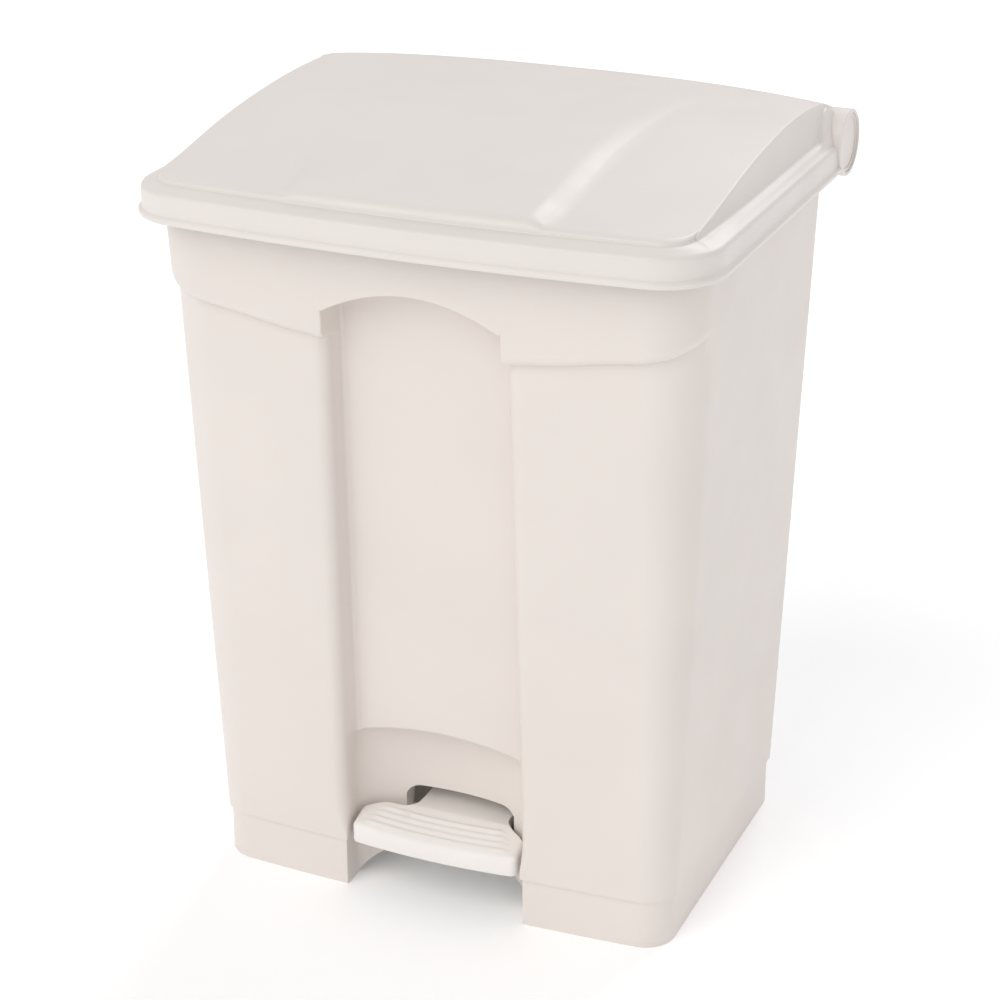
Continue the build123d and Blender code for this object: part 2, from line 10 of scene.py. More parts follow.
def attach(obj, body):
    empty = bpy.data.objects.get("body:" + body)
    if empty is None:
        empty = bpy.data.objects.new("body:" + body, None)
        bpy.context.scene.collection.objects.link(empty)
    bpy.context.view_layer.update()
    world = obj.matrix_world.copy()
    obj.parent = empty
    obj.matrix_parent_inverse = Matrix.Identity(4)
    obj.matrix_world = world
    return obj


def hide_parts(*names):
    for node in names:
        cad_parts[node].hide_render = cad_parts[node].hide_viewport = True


# Looks of the pedal bin. Lengths below are millimetres in the shared frame; METRE turns them into metres.
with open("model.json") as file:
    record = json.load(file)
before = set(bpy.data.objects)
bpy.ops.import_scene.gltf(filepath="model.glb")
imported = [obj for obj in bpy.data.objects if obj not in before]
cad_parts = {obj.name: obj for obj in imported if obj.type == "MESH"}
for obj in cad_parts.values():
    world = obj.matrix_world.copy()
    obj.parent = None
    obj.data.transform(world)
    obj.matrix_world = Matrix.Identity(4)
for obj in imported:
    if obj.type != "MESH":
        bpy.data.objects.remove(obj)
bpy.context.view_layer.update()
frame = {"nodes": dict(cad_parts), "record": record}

METRE = 0.001
MERGE_METRES = 1e-6
RELAX_SHARE = 0.3


# ---------------------------------------------------------------- small helpers

def mix(low, high, t):
    """The value a share t of the way from low to high."""
    return low + (high - low) * t


def smooth(t):
    """A soft step from 0 to 1 as t goes from 0 to 1."""
    t = np.clip(t, 0.0, 1.0)
    return t * t * (3 - 2 * t)


def steps(low, high, count):
    """count values after low, ending at high."""
    return [mix(low, high, (i + 1) / count) for i in range(count)]


def grid_faces(ids, closed=False):
    """Quads over a table of vertex numbers; closed joins the last column to the first."""
    rows, cols = ids.shape
    last = cols if closed else cols - 1
    faces = []
    for i in range(rows - 1):
        for j in range(last):
            k = (j + 1) % cols
            faces.append((ids[i, j], ids[i, k], ids[i + 1, k], ids[i + 1, j]))
    return faces


def surface_normals(points, closed):
    """Unit normals of a grid of points, rows upwards and columns to the right seen from outside."""
    up = np.gradient(points, axis=0)
    if closed:
        along = (np.roll(points, -1, axis=1) - np.roll(points, 1, axis=1)) / 2
    else:
        along = np.gradient(points, axis=1)
    normal = np.cross(along, up)
    return normal / np.maximum(np.linalg.norm(normal, axis=2, keepdims=True), 1e-9)


def relax(points, rounds, closed):
    """Average each inner point of a grid with its neighbours, to take folds out of an offset skin."""
    for _ in range(rounds):
        side = (np.roll(points, -1, axis=1) + np.roll(points, 1, axis=1)) / 2
        if not closed:
            side[:, 0], side[:, -1] = points[:, 0], points[:, -1]
        updown = points.copy()
        updown[1:-1] = (points[2:] + points[:-2]) / 2
        points = points * (1 - 2 * RELAX_SHARE) + (side + updown) * RELAX_SHARE
    return points


def make_mesh(name, points, faces, sharp_degrees=38):
    """A mesh object from points in millimetres, with doubled points merged and normals facing out."""
    mesh = bpy.data.meshes.new(name)
    places = (np.asarray(points, float) * METRE).tolist()
    mesh.from_pydata(places, [], [[int(i) for i in face] for face in faces])
    bm = bmesh.new()
    bm.from_mesh(mesh)
    bmesh.ops.remove_doubles(bm, verts=bm.verts, dist=MERGE_METRES)
    bmesh.ops.dissolve_degenerate(bm, edges=bm.edges, dist=MERGE_METRES)
    bmesh.ops.recalc_face_normals(bm, faces=bm.faces)
    bm.to_mesh(mesh)
    bm.free()
    mesh.polygons.foreach_set("use_smooth", [True] * len(mesh.polygons))
    mesh.set_sharp_from_angle(angle=math.radians(sharp_degrees))
    obj = bpy.data.objects.new(name, mesh)
    bpy.context.scene.collection.objects.link(obj)
    return obj


# ---------------------------------------------------------------- body shell

WALL = 3.2
PLINTH_TOP = 46.0
BODY_TOP = 626.0
PLINTH = {"half": 211.75, "front": -140.6, "back": 143.4, "radius": 28.0}
LOW = {"half": 214.2, "front": -143.1, "back": 146.0, "radius": 30.0}
TOP = {"half": 235.4, "front": -165.0, "back": 151.2, "radius": 49.0}
TAPER_BASE = 200.0
BOW = 6.3
REAR_RADIUS = 8.0
COLLAR_STEP = 8.0
COLLAR_RADIUS = 44.0
COLLAR_ROUND = 8.0
# lower edge of the collar: distance from the middle, height
COLLAR_EDGE = [(76, 522), (110, 525), (132, 528), (153, 532), (190, 537), (212, 542),
               (226, 549), (234, 558), (250, 566)]
CHANNEL_LOW = 82.0
CHANNEL_HIGH = 76.5
CHANNEL_START = 123.0
PLINTH_CHANNEL = CHANNEL_LOW + 1.8
PANEL_CORNER = 3.0
PANEL_CORNER_DRIFT = 0.3
PILLAR_ROUND = 11.0
PLINTH_ROUND = 0.8
WALL_DRAFT = 2.5
EDGE_ROUND = 1.6
ARCH_SPRING = 548.0
ARCH_TOP = 569.5
ARCH_LIFT = 3.0
ARCH_SHOULDER = 7.0
PANEL_LOW = (166.0, -129.0)
PANEL_HIGH = (573.0, -147.0)
SCOOP_SIDE = 147.0
SCOOP_TOP = 158.0
SCOOP_MOUTH = -129.0
SCOOP_DEPTH = 29.0
SCOOP_BLEND = 0.35
SLOT_TOP = 89.0
SLOT_RADIUS = 14.0
SLEEVE = 16.0
SLEEVE_MARGIN = 3.0
# where the pedal slot ends, to the right and to the left of the middle
SLOT_END = {1: 61.0, -1: 44.0}
FOOT_ARCH = 37.0
FLOOR_LOW = 92.0
FLOOR_TOP = 95.2
LEVER_SLOT = (143.0, 157.0)
LEVER_SLOT_Z = (32.0, 88.0)
HINGE_Y = 176.1
HINGE_Z = 629.0
RIM_CLEARANCE = 30.5
RIM_ROUND = 0.7

# how many columns of the body's grid each stretch of the plan has
SLOT_COLUMNS = 6
SLOT_OUTER_COLUMNS = 9
CORNER_STEPS = 3
WALL_COLUMNS = 7
ROUND_COLUMNS = 6
FRONT_COLUMNS = 16
CORNER_COLUMNS = 12
SIDE_COLUMNS = 26
REAR_COLUMNS = 4
BACK_OUTER_COLUMNS = 4
BACK_MIDDLE_COLUMNS = 12
# how many columns beside the arch its rise takes to fade into the collar
BLEND_COLUMNS = 14


def plan_sizes(z):
    """Half width, front, back and front corner radius of the body above the plinth, at height z."""
    t = (z - PLINTH_TOP) / (BODY_TOP - PLINTH_TOP)
    return {key: mix(LOW[key], TOP[key], t) for key in LOW}


def channel_half(z):
    """Half width of the channel between the pillars."""
    t = np.clip((z - CHANNEL_START) / (ARCH_SPRING - CHANNEL_START), 0, 1)
    return mix(CHANNEL_LOW, CHANNEL_HIGH, t)


def panel_y(z):
    """How far back the inset panel stands, at height z."""
    (low_z, low_y), (high_z, high_y) = PANEL_LOW, PANEL_HIGH
    return low_y + (high_y - low_y) * (z - low_z) / (high_z - low_z)


def panel_columns(side):
    """Columns across half the channel, as shares of its half width, with a close pair at the slot's end."""
    end = SLOT_END[side]
    inner = [mix(0, end - SLOT_RADIUS, i / SLOT_COLUMNS) for i in range(SLOT_COLUMNS + 1)]
    bend = [end - SLOT_RADIUS + SLOT_RADIUS * math.sin(a) for a in steps(0, math.pi / 2, SLOT_COLUMNS)]
    pair = end + 0.05
    wall = CHANNEL_LOW - 0.5
    outer = [mix(end, wall, math.sin(a)) for a in steps(0, math.pi / 2, SLOT_OUTER_COLUMNS)]
    return np.array(inner + bend + [pair] + outer) / CHANNEL_LOW


def back_columns(half):
    """Columns along the back, from the corner to the middle, with three over the slot of the lever."""
    first = steps(half - REAR_RADIUS, LEVER_SLOT[1], BACK_OUTER_COLUMNS)
    slot = [sum(LEVER_SLOT) / 2, LEVER_SLOT[0]]
    return np.array(first + slot + steps(LEVER_SLOT[0], 0.0, BACK_MIDDLE_COLUMNS))


def front_corner(sizes, step):
    """Radius of the front corner, how far the bowed front leans where it meets it, and where that is."""
    radius = mix(sizes["radius"], COLLAR_RADIUS, step / COLLAR_STEP)
    lean = np.arctan(2 * BOW / (sizes["half"] - radius))
    return radius, lean, sizes["half"] - radius + radius * np.sin(lean)


def front_y(sizes, step, x):
    """The front face's y at distance x from the middle."""
    return sizes["front"] - step - BOW * (1 - (x / front_corner(sizes, step)[2]) ** 2)


def rim_profile(sizes, step, start_x):
    """Points of the plan from the pillar's front, round the corner, along the side and the back."""
    half, front, back = sizes["half"], sizes["front"] - step, sizes["back"]
    radius, lean, end_x = front_corner(sizes, step)
    centre_y = front + radius * math.cos(lean)
    rear_x, rear_y = half - REAR_RADIUS, back - REAR_RADIUS
    points = []
    for t in steps(0, 1, FRONT_COLUMNS):
        x = mix(start_x, end_x, t)
        points.append((x, front_y(sizes, step, x)))
    for a in steps(lean, math.pi / 2, CORNER_COLUMNS):
        points.append((half - radius + radius * math.sin(a), centre_y - radius * math.cos(a)))
    for y in steps(centre_y, rear_y, SIDE_COLUMNS):
        points.append((half, y))
    for a in steps(0, math.pi / 2, REAR_COLUMNS):
        points.append((rear_x + REAR_RADIUS * math.cos(a), rear_y + REAR_RADIUS * math.sin(a)))
    for x in back_columns(half):
        points.append((x, back))
    return np.array(points)


def channel_profile(sizes, step, shares, inner, rounding, half, z):
    """Plan of the channel at height z: across the panel or scoop, along the wall, round the pillar's edge."""
    is_panel = inner == "panel"
    corner = PANEL_CORNER if is_panel else 0.0
    draft = WALL_DRAFT if is_panel else 0.0
    points = []
    if is_panel:
        back = panel_y(z)
        points += [(s * (half - WALL_DRAFT - corner) / shares[-1], back) for s in shares]
    else:
        back = SCOOP_MOUTH
        for s in shares:
            depth = SCOOP_DEPTH * math.sqrt(max(0.0, 1 - s * s))
            points.append((s * half, back + depth))
    front = front_y(sizes, step, half + rounding)
    for a in steps(0, math.pi / 2, CORNER_STEPS):
        x = half - draft - corner * (1 - math.sin(a))
        points.append((x, back - corner * (1 - math.cos(a)) - PANEL_CORNER_DRIFT * a))
    start = points[-1][1]
    for t in steps(0, 1, WALL_COLUMNS - CORNER_STEPS):
        points.append((half - draft * (1 - t), mix(start, front + rounding, t)))
    for a in steps(0, math.pi / 2, ROUND_COLUMNS):
        points.append((half + rounding * (1 - math.cos(a)), front + rounding * (1 - math.sin(a))))
    return np.array(points)


def half_row(z, side, kind, inner="panel", rounding=None):
    """One half of the plan at height z, as (x, y) from the middle of the front to the middle of the back."""
    if rounding is None:
        rounding = EDGE_ROUND if kind == "collar" else PILLAR_ROUND
    sizes = PLINTH if kind == "plinth" else plan_sizes(z)
    step = COLLAR_STEP if kind == "collar" else 0.0
    half = PLINTH_CHANNEL if kind == "plinth" else channel_half(z)
    channel = channel_profile(sizes, step, panel_columns(side), inner, rounding, half, z)
    rest = rim_profile(sizes, step, channel[-1][0])
    return np.vstack([channel, rest])


def collar_edge(x):
    """Height of the collar's lower edge at distance x from the middle."""
    places, heights = zip(*COLLAR_EDGE)
    return np.interp(np.abs(x), places, heights)


def level_row(side, kind, z):
    """A row of the plan whose height z differs from column to column."""
    low = half_row(TAPER_BASE, side, kind)
    high = half_row(BODY_TOP, side, kind)
    t = (z - TAPER_BASE) / (BODY_TOP - TAPER_BASE)
    plan = low + (high - low) * t[:, None]
    return np.column_stack([plan, z])


class HalfBody:
    """The outer skin of one half of the body as rows of points; x is positive and is mirrored later."""

    def __init__(self, side):
        self.side = side
        self.count = len(half_row(TAPER_BASE, side, "body"))
        self.order = np.arange(self.count)
        self.panel_end = len(panel_columns(side))
        self.wall_end = self.panel_end + WALL_COLUMNS
        self.round_end = self.wall_end + ROUND_COLUMNS
        self.front_end = self.round_end + FRONT_COLUMNS
        self.is_scoop = self.order < self.panel_end
        self.is_channel = self.order < self.wall_end
        self.is_rounding = (self.order >= self.wall_end) & (self.order < self.round_end)
        self.rows = []
        self.add_low_rows()
        roof_end = self.add_scoop_roof()
        level = self.add_front(roof_end)
        target, beside = self.add_collar_face(level)
        last = self.add_arch(target, beside)
        self.add_rim_rows(last)

    def add(self, plan, z):
        """One more row, at one height or at one for each column."""
        self.rows.append(np.column_stack([plan[:, 0], plan[:, 1], np.broadcast_to(z, (self.count,))]))

    def add_low_rows(self):
        """Feet, plinth and scoop; the scoop's wall starts at the pedal slot and the arch of the feet."""
        x = half_row(60.0, self.side, "body", "scoop")[:, 0]
        end = SLOT_END[self.side]
        arch = FOOT_ARCH * np.clip(1 - (x / CHANNEL_LOW) ** 2, 0, 1) ** 0.7
        past = np.clip((x - end + SLOT_RADIUS) / SLOT_RADIUS, 0, 1)
        slot = SLOT_TOP - SLOT_RADIUS * (1 - np.sqrt(1 - past ** 2))
        low = np.where(self.is_scoop, np.where(x <= end, np.maximum(slot, arch), arch), 0.0)
        levels = [0.0, 0.8, 11.0, 22.0, LEVER_SLOT_Z[0], 40.0, 45.4, 46.2, 49.0, 55.0, 64.0, 76.0,
                  LEVER_SLOT_Z[1], FLOOR_LOW]
        for z in levels:
            kind = "plinth" if z < PLINTH_TOP else "body"
            rounding = PLINTH_ROUND
            if kind == "body":
                rounding = mix(1.0, PILLAR_ROUND, float(smooth((z - 48) / 30)))
            plan = half_row(max(z, PLINTH_TOP), self.side, kind, "scoop", rounding)
            if z == 0.0:
                plan[~self.is_channel] *= 0.998
            self.add(plan, np.where(self.is_scoop, mix(low, FLOOR_LOW, z / FLOOR_LOW), z))
        for z in (FLOOR_TOP, 108.0, 122.0, 134.0):
            self.add(half_row(z, self.side, "body", "scoop"), z)

    def add_scoop_roof(self):
        """Roof of the scoop: a wide hollow round, then a tight one up to the panel. Returns its height."""
        scoop = half_row(SCOOP_SIDE, self.side, "body", "scoop")
        panel = half_row(SCOOP_SIDE, self.side, "body", "panel")
        x = np.minimum(scoop[:, 0], CHANNEL_LOW)
        crown = mix(SCOOP_SIDE, SCOOP_TOP, 1 - (x / CHANNEL_LOW) ** 2)
        roof = np.where(self.is_channel, crown, SCOOP_SIDE)
        depth = np.where(self.is_scoop, scoop[:, 1] - panel[:, 1], 0.0)
        hollow = np.where(self.is_channel, np.clip(depth * 0.62, 1.5, 14.0), 4.0)
        edge = np.where(self.is_channel, np.clip(depth * 0.25, 0.6, 3.5), 4.0)
        edge_low = roof + 0.15
        for i, a in enumerate(np.linspace(0, math.pi / 2, 8)):
            blend = np.where(self.is_scoop, 0.0, SCOOP_BLEND * i / 7)[:, None]
            plan = scoop * (1 - blend) + panel * blend
            plan[:, 1] -= np.where(self.is_scoop, hollow * (1 - math.cos(a)), 0)
            self.add(plan, roof - hollow + hollow * math.sin(a))
        for i, a in enumerate(np.linspace(0.02, math.pi / 2, 6)):
            blend = mix(SCOOP_BLEND, 1.0, i / 5)
            plan = scoop * (1 - blend) + panel * blend
            plan[:, 1] = np.where(self.is_scoop, panel[:, 1] + edge * (1 - math.sin(a)), plan[:, 1])
            self.add(plan, edge_low + edge * (1 - math.cos(a)))
        return edge_low + edge

    def add_front(self, start):
        """Panel and pillars from the scoop's roof to the collar, and the collar's rounded underside."""
        x = half_row(540.0, self.side, "body")[:, 0]
        lip = np.where(self.order < self.round_end, collar_edge(COLLAR_EDGE[0][0]), collar_edge(x))
        for t in steps(0, 1, 22):
            self.rows.append(level_row(self.side, "body", mix(start, lip, t)))
        for a in steps(0, math.pi / 2, 7):
            z = lip + COLLAR_ROUND * (1 - math.cos(a))
            body = level_row(self.side, "body", z)
            face = level_row(self.side, "collar", z)
            self.rows.append(body + (face - body) * math.sin(a))
        return lip + COLLAR_ROUND

    def add_collar_face(self, level):
        """Collar and panel up to the arch's underside. Returns that height, and its rise beside the arch."""
        x = half_row(540.0, self.side, "body")[:, 0]
        spring = np.where(self.is_channel, ARCH_SPRING - ARCH_LIFT, ARCH_SPRING)
        bend = mix(0, ARCH_TOP - ARCH_SPRING, 1 - (x / CHANNEL_HIGH) ** 2)
        target = np.maximum(spring + np.where(self.is_scoop, bend, 0.0), level + 2.5)
        for t in steps(0, 1, 5):
            self.rows.append(level_row(self.side, "collar", mix(level, target, t)))
        beside = 0.1 + 0.7 * smooth((self.order - self.wall_end) / BLEND_COLUMNS)
        return target, beside

    def add_arch(self, target, beside):
        """Underside of the arch, from the panel out to the collar's face. Returns the row on that face."""
        ceiling = level_row(self.side, "collar", target)
        inner_half = channel_half(ARCH_SPRING)
        spread = np.interp(self.order, [0, self.panel_end - 1, self.wall_end - 1],
                           [0, inner_half - ARCH_SHOULDER, inner_half])
        rise = mix(0, ARCH_TOP - ARCH_SPRING, 1 - (spread / inner_half) ** 2)
        sizes = plan_sizes(ARCH_SPRING)
        edge = np.column_stack([spread, front_y(sizes, COLLAR_STEP, spread), ARCH_SPRING + rise])
        front = np.where(self.is_channel[:, None], edge, ceiling)
        for i, t in enumerate((0.03, 0.07, 0.13, 0.3, 0.5, 0.7, 0.9, 0.96, 0.99, 1.0)):
            row = ceiling + (front - ceiling) * t
            lift = ARCH_LIFT * math.sin(min(1.0, t / 0.13) * math.pi / 2)
            under = target + lift + (front[:, 2] - target - ARCH_LIFT) * t
            row[:, 2] = np.where(self.is_channel, under, target + beside * (i + 1))
            plan = level_row(self.side, "collar", row[:, 2])
            row[:, :2] = np.where(self.is_channel[:, None], row[:, :2], plan[:, :2])
            flat = front_y(sizes, COLLAR_STEP, row[:, 0])
            row[:, 1] = np.where(self.is_rounding, mix(row[:, 1], flat, t), row[:, 1])
            self.rows.append(row)
        last = self.rows[-1]
        soft = last.copy()
        soft[self.is_channel, 2] += 1.2
        soft[self.is_channel, 1] -= 0.25
        outside = level_row(self.side, "collar", last[:, 2] + 0.5 + beside)
        soft[~self.is_channel] = outside[~self.is_channel]
        soft[self.is_rounding, 1] = front_y(sizes, COLLAR_STEP, soft[self.is_rounding, 0]) - 0.25
        self.rows.append(soft)
        return soft

    def add_rim_rows(self, last):
        """The collar's face up to the rim; its columns drift to an even spacing across the front."""
        rim_x = half_row(BODY_TOP, self.side, "collar")[:, 0]
        is_front = self.order < self.front_end
        even = np.interp(self.order, [0, self.front_end - 1], [0, rim_x[self.front_end - 1]])
        for t in steps(0, 1, 12):
            row = level_row(self.side, "collar", mix(last[:, 2], BODY_TOP, t))
            drift = np.where(is_front, mix(last[:, 0], even, float(smooth(t))), row[:, 0])
            face = front_y(plan_sizes(row[:, 2]), COLLAR_STEP, drift)
            row[:, 0] = drift
            row[:, 1] = np.where(is_front, face, row[:, 1])
            self.rows.append(row)

    def grid(self):
        """The rows as one grid, with the rim dipped at the back, clear of the hinge roll."""
        grid = np.array(self.rows)
        gap = np.clip(HINGE_Y - grid[-1, :, 1], 0, RIM_CLEARANCE)
        top = np.minimum(BODY_TOP, HINGE_Z - np.sqrt(np.maximum(RIM_CLEARANCE ** 2 - gap ** 2, 0)))
        for i in range(len(grid)):
            below = 0.05 * (len(grid) - 1 - i)
            grid[i, :, 2] = np.minimum(grid[i, :, 2], top - below)
        return grid


def mirrored_ring(right, left):
    """One closed ring of columns from two half grids that both start at the front and end at the back."""
    other = left[:, ::-1][:, 1:-1] * np.array([-1.0, 1.0, 1.0])
    return np.concatenate([right, other], axis=1)


def inner_skin(outer, under, above):
    """The inside of the walls, a wall's thickness in, with the floor between the rows under and above."""
    inner = outer - WALL * surface_normals(outer, True)
    inner[0, :, 2], inner[-1, :, 2] = outer[0, :, 2], outer[-1, :, 2]
    inner[: under + 1] = relax(inner[: under + 1], 2, True)
    inner[above:] = relax(inner[above:], 5, True)
    inner[under, :, 2], inner[above, :, 2] = FLOOR_LOW, FLOOR_TOP
    for side in (1, -1):
        x = outer[0, :, 0] * side
        sleeve = (x >= 0) & (x < SLOT_END[side] + SLEEVE_MARGIN) & (outer[0, :, 1] < 0)
        inner[: under + 1, sleeve, 1] += SLEEVE
    return inner


def bridge(outer_ids, inner_ids, path):
    """Quads between the same path of grid places on two skins; path is a closed list of (row, column)."""
    faces = []
    for (i, j), (k, m) in zip(path, path[1:] + path[:1]):
        faces.append((outer_ids[i, j], outer_ids[k, m], inner_ids[k, m], inner_ids[i, j]))
    return faces


def hole_path(rows, columns):
    """The border of a block of grid places, once round."""
    path = [(i, columns[0]) for i in rows[:-1]]
    path += [(rows[-1], j) for j in columns[:-1]]
    path += [(i, columns[-1]) for i in rows[:0:-1]]
    path += [(rows[0], j) for j in columns[:0:-1]]
    return path


def wall_faces(ids, low, high, cut):
    """Quads of a closed grid from row low to row high, without the places in cut."""
    columns = ids.shape[1]
    faces = []
    for i in range(low, high):
        for j in range(columns):
            if (i, j) not in cut:
                k = (j + 1) % columns
                faces.append((ids[i, j], ids[i, k], ids[i + 1, k], ids[i + 1, j]))
    return faces


def build_body():
    """The bin's one moulding, with its raised floor and the two slots for the levers in its back."""
    right = HalfBody(1)
    outer = mirrored_ring(right.grid(), HalfBody(-1).grid())
    heights = outer[:, right.count - 1, 2]
    under, above, slot_low, slot_high = (
        int(np.argmin(np.abs(heights - z))) for z in (FLOOR_LOW, FLOOR_TOP, *LEVER_SLOT_Z))
    inner = inner_skin(outer, under, above)

    rows, columns = outer.shape[:2]
    outer_ids = np.arange(rows * columns).reshape(rows, columns)
    inner_ids = outer_ids + rows * columns
    rim = np.stack([mix(outer[-1], inner[-1], t) + np.array([0, 0, RIM_ROUND]) for t in (0.22, 0.78)])
    rim_ids = np.arange(2 * columns).reshape(2, columns) + 2 * rows * columns
    points = np.concatenate([outer.reshape(-1, 3), inner.reshape(-1, 3), rim.reshape(-1, 3)])

    slot_rows = list(range(slot_low, slot_high + 1))
    first = right.count - 1 - BACK_MIDDLE_COLUMNS - 2
    right_slot = [first, first + 1, first + 2]
    slots = [right_slot, [columns - j for j in reversed(right_slot)]]
    cut = {(i, j) for slot in slots for i in slot_rows[:-1] for j in slot[:-1]}

    faces = wall_faces(outer_ids, 0, rows - 1, cut)
    faces += wall_faces(inner_ids, 0, under, cut)
    faces += wall_faces(inner_ids, above, rows - 1, cut)
    for slot in slots:
        faces += bridge(outer_ids, inner_ids, hole_path(slot_rows, slot))
    faces += grid_faces(np.stack([outer_ids[0], inner_ids[0]]), True)
    faces += grid_faces(np.stack([outer_ids[-1], rim_ids[0], rim_ids[1], inner_ids[-1]]), True)
    faces.append(list(inner_ids[above]))
    faces.append(list(inner_ids[under]))
    body = make_mesh("bin_body", points, faces)
    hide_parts("body_shell")
    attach(body, "root")
    dress(body, "body_plastic")
    return body


# ---------------------------------------------------------------- lid

LID_WALL = 3.0
RIM_LOW = 608.2
BEAD_HEIGHT = 6.0
BEAD = 2.7
SHOULDER = 633.5
SHOULDER_ROUND = 5.0
LEDGE = 637.0
SKIRT = {"half": 247.3, "front": -192.5, "radius": 51.3, "bow": 9.4}
SKIRT_BACK = 180.5
# the crowned top, from front to back: y, half width, height at the side edge, height of the crown over it
DOME = [(-190, 226.0, 640.5, 2.0), (-165, 226.5, 641.5, 2.6), (-150, 226.8, 642.6, 3.2),
        (-120, 227.0, 646.6, 4.0), (-90, 226.9, 652.0, 4.6), (-60, 226.6, 657.3, 5.0),
        (-30, 226.3, 661.5, 5.3), (0, 226.0, 664.8, 5.5), (30, 225.9, 667.2, 5.5),
        (60, 225.7, 669.0, 5.4), (90, 225.8, 669.6, 5.4), (120, 226.6, 669.0, 6.0),
        (145, 228.2, 667.3, 7.6), (160, 229.8, 665.4, 9.5), (167, 231.0, 662.4, 11.0),
        (173, 231.6, 659.4, 8.0), (177, 232.0, 656.8, 0.0)]
DOME_WIDTH = 228.0
DOME_START = -183.0
DOME_STRAIGHT = -155.0
DOME_BACK = 176.5
DOME_CORNER = 24.0
DOME_EDGE_ROUND = 1.7
DOME_FRONT_ROUND = 9.0
# front edge of the dome: y at the corners, how far it bows forward, and the distance that the bow spans
DOME_FRONT = (-178.5, 9.0, 195.0)
CROWN_POWER = 2.8
PANEL_RISE = 6.0
PANEL_END = 108.0
PANEL_ROUND = 30.0
# the creases beside the raised panel: y, and distance from the middle on the right and on the left
CREASES = [(-190, 115.5, 101.5), (-120, 117.5, 115.0), (-47, 120.6, 128.5), (24, 127.0, 137.0),
           (105, 136.0, 145.0), (170, 143.0, 151.0)]
# width of the soft slope from each crease up to the panel
FACETS = [(-190, 14.0), (-60, 20.0), (20, 23.0), (70, 14.0), (108, 3.0), (170, 3.0)]
ROLL_RADIUS = 28.5
ROLL_HALF = 250.0
ROLL_WEB = 246.0
ROLL_EDGE = 0.8
LEVER_X = 158.0
LEVER_HALF = 7.0
ROD_HOLE = 6.0
LID_SHARP = 32
# boxes cut from the lid at the roll, as (low, high) ends along x, y and z from the hinge line
HOLLOW = ((-224, 224), (-50, -5.7), (-40, 22))
OPENING_Y = (-1, 6)
NOTCH_Y = (-40, 24.5)
BELOW_Z = (-40, -10)


def column_of(table, index):
    """One column of a table of stations, as floats."""
    return np.array([row[index] for row in table], float)


def dome_value(y, column):
    """One of the dome's measures at y, smoothly between the stations."""
    ys, values = column_of(DOME, 0), column_of(DOME, column)
    near = [np.interp(np.asarray(y) + shift, ys, values) for shift in (-5, -2.5, 0, 2.5, 5)]
    return sum(near) / len(near)


def dome_front(x):
    """y of the dome's front edge, bowed, with rounded corners."""
    start, bow, reach = DOME_FRONT
    x = np.abs(x)
    inner = dome_value(DOME_STRAIGHT, 1) - DOME_CORNER
    past = np.clip((x - inner) / DOME_CORNER, 0, 1)
    bowed = start - bow * (1 - (np.minimum(x, inner) / reach) ** 2)
    return bowed + DOME_CORNER * (1 - np.sqrt(1 - past ** 2))


def crease(y, side):
    """The crease beside the raised panel: distance from the middle, width of its slope, and height."""
    ys, places = column_of(CREASES, 0), column_of(CREASES, 1 if side > 0 else 2)
    line = sum(np.interp(y + shift, ys, places) for shift in (-20, 0, 20)) / 3
    width = np.interp(y, column_of(FACETS, 0), column_of(FACETS, 1))
    return line, width, PANEL_RISE * np.clip((PANEL_END - y) / (PANEL_END - DOME_START), 0, 1)


def dome_height(x, y, front_distance, side):
    """Height of the dome's top: a crown over its side edges, the raised panel, and a round at the front."""
    half, edge, crown = (dome_value(y, column) for column in (1, 2, 3))
    base = edge + crown * (1 - np.clip(np.abs(x) / half, 0, 1) ** CROWN_POWER)
    line, width, rise = crease(y, side)
    up = np.clip((line - np.abs(x)) / width, 0, 1)
    panel = rise * (1 - (1 - up) ** 1.7)
    panel_near = np.clip(1 - front_distance / PANEL_ROUND, 0, 1)
    front_near = np.clip(1 - front_distance / DOME_FRONT_ROUND, 0, 1)
    low = LEDGE + 1.2
    return low + (base - low) * np.sqrt(1 - front_near ** 2) + panel * np.sqrt(1 - panel_near ** 2)


def dome_columns(y_share, side):
    """x of the columns on one half of the dome: to the facet, across it, and on to the side edge."""
    y = mix(DOME_START, DOME_BACK, y_share)
    line, width, _ = crease(y, side)
    half = dome_value(np.maximum(y, DOME_STRAIGHT), 1)
    inner = [mix(0, line - width, i / 7) for i in range(8)]
    facet = [mix(line - width, line, t) for t in (0.15, 0.35, 0.55, 0.75, 0.9, 1.0)]
    flat = steps(line, half - DOME_CORNER, 8)
    bend = [half - DOME_CORNER * (1 - math.sin(a)) for a in steps(0, math.pi / 2, 10)]
    return np.array(inner + facet + flat + bend)


def dome_grid():
    """The dome's top as rows from front to back, closer at the front, and columns from left to right."""
    close = [0, 0.001, 0.003, 0.007, 0.012, 0.018, 0.026, 0.036, 0.048, 0.063, 0.08]
    rows = []
    for share in np.concatenate([close, np.linspace(0.105, 1.0, 34)]):
        halves = []
        for side in (-1, 1):
            x = side * dome_columns(share, side)
            front = dome_front(x)
            y = mix(front, DOME_BACK, share)
            halves.append(np.column_stack([x, y, dome_height(x, y, y - front, side)]))
        rows.append(np.concatenate([halves[0][:0:-1], halves[1]]))
    return np.array(rows)


